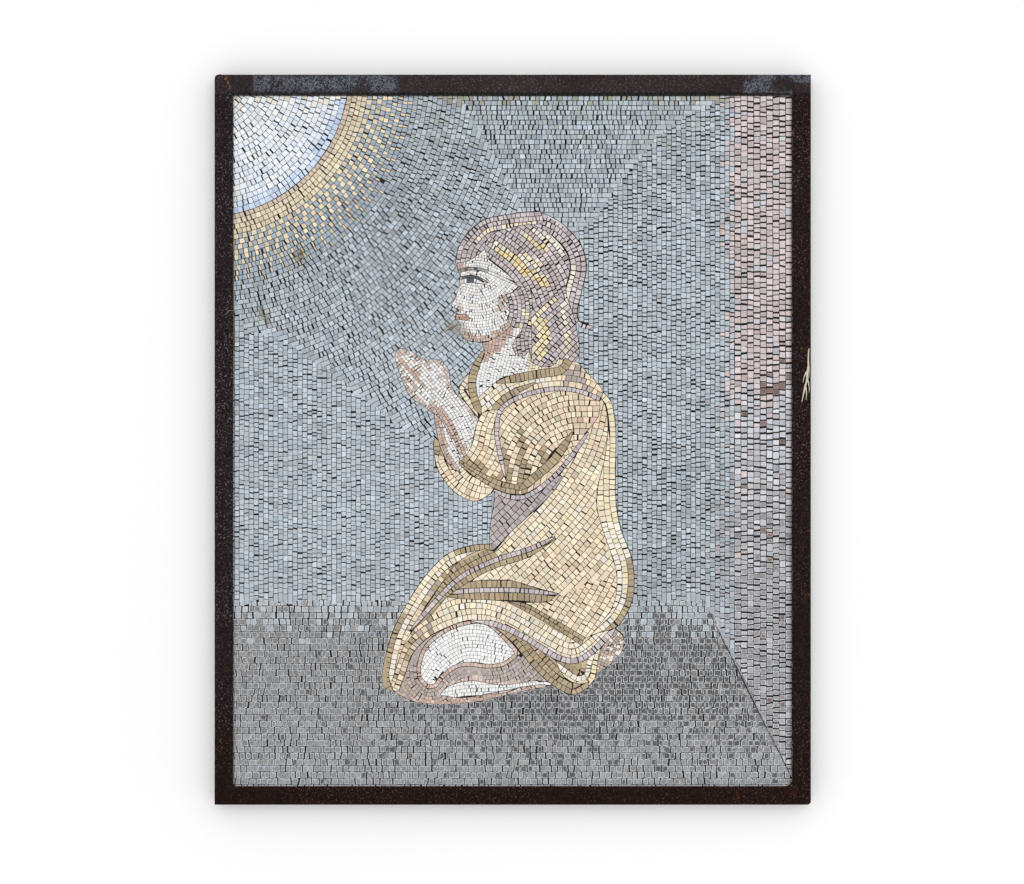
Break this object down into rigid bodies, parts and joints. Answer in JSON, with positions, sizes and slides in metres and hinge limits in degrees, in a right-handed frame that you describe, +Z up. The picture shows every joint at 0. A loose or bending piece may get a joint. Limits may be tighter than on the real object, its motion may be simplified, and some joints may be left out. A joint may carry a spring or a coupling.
{
  "type": "mosaic panel",
  "caption": "Framed stone mosaic wall panel: a kneeling child at prayer under a corner sun, laid in small hand-cut stones in a welded steel angle frame.",
  "frame": {"origin": "middle of the flat back, where the panel lies against its wall", "axes": "+X along the width, to the right of a viewer who faces the picture; +Y out of the back, into the wall; +Z up"},
  "size_m": [0.98, 0.03, 1.2],
  "materials": {
    "painted_steel": "worn dark brown paint, rust specks, grey where bare",
    "mortar": "rough dark cement mortar",
    "stone_blue_grey": "hand-cut, matte, slightly worn edges",
    "stone_pink_grey": "hand-cut, matte, pink above and grey below",
    "stone_warm_grey": "hand-cut, matte, lime haze round the edges",
    "stone_white": "hand-cut white marble, matte",
    "stone_cream": "hand-cut, matte, cream to peach",
    "stone_yellow": "hand-cut, matte, pale yellow and cream",
    "stone_olive": "hand-cut, matte, olive brown",
    "stone_mauve": "hand-cut, matte, mauve grey",
    "stone_rose": "hand-cut, matte, salmon pink",
    "stone_slate": "hand-cut, matte, dark slate"
  },
  "bodies": {
    "root": {"left_stile": "painted_steel", "right_stile": "painted_steel", "top_rail": "painted_steel", "bottom_rail": "painted_steel", "mortar_bed": "mortar", "sleeve_seam": "stone_mauve", "sleeve_edge_low": "stone_olive", "sleeve_edge_right": "stone_olive", "sleeve_cuff": "stone_cream", "sleeve_puff": "stone_cream", "sleeve_line": "stone_mauve", "hand_and_forearm": "stone_white", "far_forearm": "stone_rose", "far_sleeve": "stone_cream", "collar_far": "stone_olive", "collar_near": "stone_olive", "collar_strap": "stone_olive", "chest_far": "stone_cream", "hair_fringe": "stone_mauve", "hair_back": "stone_mauve", "hair_locks": "stone_mauve", "hair_side": "stone_mauve", "hair_main": "stone_mauve", "eyebrow": "stone_slate", "eyelid": "stone_slate", "eye": "stone_white", "lips": "stone_rose", "cheek": "stone_white", "forehead": "stone_white", "neck": "stone_white", "yoke": "stone_cream", "fold_upper_line": "stone_mauve", "fold_upper_top": "stone_olive", "fold_upper_low": "stone_olive", "fold_lower_line": "stone_mauve", "fold_lower_top": "stone_olive", "fold_lower_low": "stone_olive", "fold_back": "stone_olive", "hem_line": "stone_mauve", "hem_edge": "stone_olive", "flap": "stone_yellow", "hem_band": "stone_cream", "robe_front": "stone_cream", "robe_shadow": "stone_mauve", "back_edge": "stone_yellow", "robe_skirt": "stone_cream", "robe_body": "stone_cream", "thigh_light": "stone_white", "shin_light": "stone_white", "thigh_rim": "stone_rose", "leg": "stone_mauve", "foot": "stone_rose", "sun_disc": "stone_white", "sun_rays": "stone_yellow", "sky_arcs": "stone_blue_grey", "sky_rows": "stone_blue_grey", "floor": "stone_warm_grey", "side_wall": "stone_pink_grey", "sky_right": "stone_blue_grey", "sky_left": "stone_blue_grey"}
  },
  "joints": []
}
